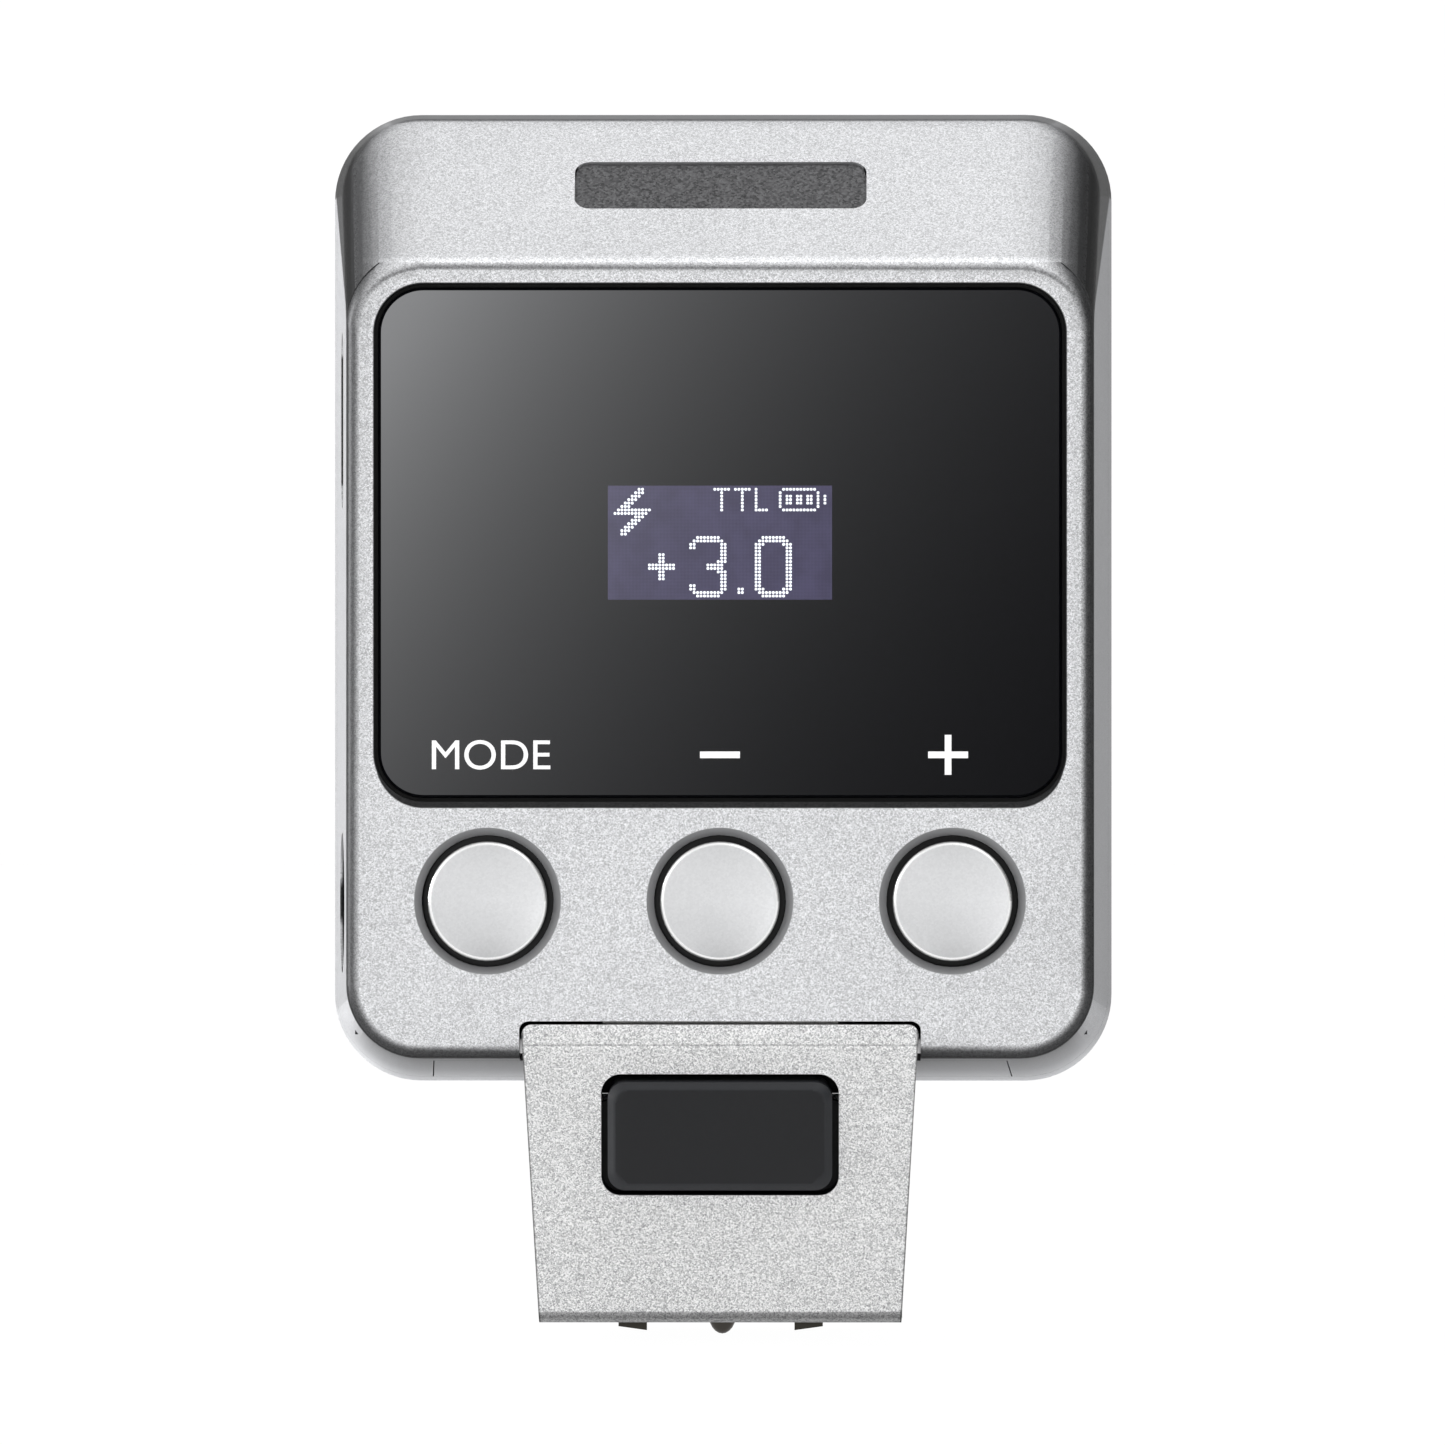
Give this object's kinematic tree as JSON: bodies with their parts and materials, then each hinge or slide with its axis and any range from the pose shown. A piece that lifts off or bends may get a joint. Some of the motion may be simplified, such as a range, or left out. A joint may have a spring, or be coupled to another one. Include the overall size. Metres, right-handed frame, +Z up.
{
  "type": "wireless flash trigger",
  "caption": "Compact hot-shoe wireless flash trigger: tilting head with a glass display and round buttons on a cast arm with a lockable shoe foot.",
  "frame": {"origin": "middle of the shoe foot's underside, on the axis of the centre contact", "axes": "+Z up out of the shoe, +Y in the direction in which the foot slides into a shoe, away from the display; +X to the right of the display"},
  "size_m": [0.0408, 0.0248, 0.063],
  "materials": {
    "silver_paint": "fine metallic satin paint",
    "housing_paint": "satin metallic paint",
    "cast_metal": "grained metallic paint on a casting",
    "cap_metal": "satin, turned",
    "window_glass": "black backed, polished",
    "black_rubber": "matte",
    "black_plastic": "fine texture",
    "badge_finish": "dark metallic grain",
    "display": "dot matrix",
    "board": "solder mask",
    "chip": "moulded",
    "shield": "tinned",
    "gold": "gold plated",
    "silicone": "matte",
    "steel": "satin",
    "screw_steel": "blackened",
    "cell": "pouch foil",
    "foam": "foam",
    "signal_red": "dark red, polished",
    "lamp": "white"
  },
  "bodies": {
    "foot": {"arm_shell": "cast_metal", "arm_rear_cover": "cast_metal", "arm_cover_screw": "screw_steel", "lock_springs": "steel", "foot_plate": "shield", "foot_screws": "screw_steel", "contact_carrier": "black_plastic", "contact_spring": "steel", "data_contacts": "gold"},
    "head": {"front_cover": "silver_paint", "main_housing": "housing_paint", "rear_cover": "silver_paint", "rear_screws": "screw_steel", "badge_plate": "badge_finish", "display_glass": "window_glass", "glass_gasket": "black_rubber", "oled_panel": "display", "oled_holder": "black_plastic", "main_board": "board", "board_chips": "chip", "board_screws": "steel", "radio_module": "shield", "antenna": "gold", "button_mat": "silicone", "tact_switches": "steel", "side_switch": "steel", "usb_port": "steel", "battery": "cell", "battery_pad": "foam", "battery_bracket": "black_plastic", "af_window": "signal_red", "af_lamp": "lamp", "hinge_pin": "steel", "hinge_cover": "housing_paint", "hinge_cover_screws": "screw_steel", "hinge_spring": "steel"},
    "mode_button": {"mode_button": "cap_metal"},
    "minus_button": {"minus_button": "cap_metal"},
    "plus_button": {"plus_button": "cap_metal"},
    "side_button": {"side_button": "cap_metal"},
    "release_button": {"release_button": "black_plastic"},
    "lock_slider": {"lock_slider": "steel"},
    "centre_contact": {"centre_contact": "gold"}
  },
  "joints": [
    {"name": "head_tilt", "type": "hinge", "parent": "foot", "child": "head", "pos_m": [0, -0.0141, 0.01425], "axis": [1, 0, 0], "range_deg": [0, 90]},
    {"name": "mode_press", "type": "slide", "parent": "head", "child": "mode_button", "axis": [0, 1, 0], "range_m": [0, 0.0005], "stiffness_N_per_m": 2000, "springref_m": -0.0002},
    {"name": "minus_press", "type": "slide", "parent": "head", "child": "minus_button", "axis": [0, 1, 0], "range_m": [0, 0.0005], "stiffness_N_per_m": 2000, "springref_m": -0.0002},
    {"name": "plus_press", "type": "slide", "parent": "head", "child": "plus_button", "axis": [0, 1, 0], "range_m": [0, 0.0005], "stiffness_N_per_m": 2000, "springref_m": -0.0002},
    {"name": "side_press", "type": "slide", "parent": "head", "child": "side_button", "axis": [1, 0, 0], "range_m": [0, 0.0005], "stiffness_N_per_m": 2000, "springref_m": -0.0002},
    {"name": "release_press", "type": "slide", "parent": "foot", "child": "release_button", "axis": [0, 0.9925, 0.1219], "range_m": [0, 0.0008], "stiffness_N_per_m": 2500, "springref_m": -0.0004},
    {"name": "lock_lift", "type": "slide", "parent": "foot", "child": "lock_slider", "axis": [0, 0, 1], "range_m": [0, 0.0008], "deforming": ["lock_springs"]},
    {"name": "contact_press", "type": "slide", "parent": "foot", "child": "centre_contact", "axis": [0, 0, 1], "range_m": [0, 0.0005], "stiffness_N_per_m": 800, "springref_m": -0.0002, "deforming": ["contact_spring"]}
  ],
  "couplings": [
    {"joint": "lock_lift", "follows": "release_press", "ratio": 1}
  ]
}
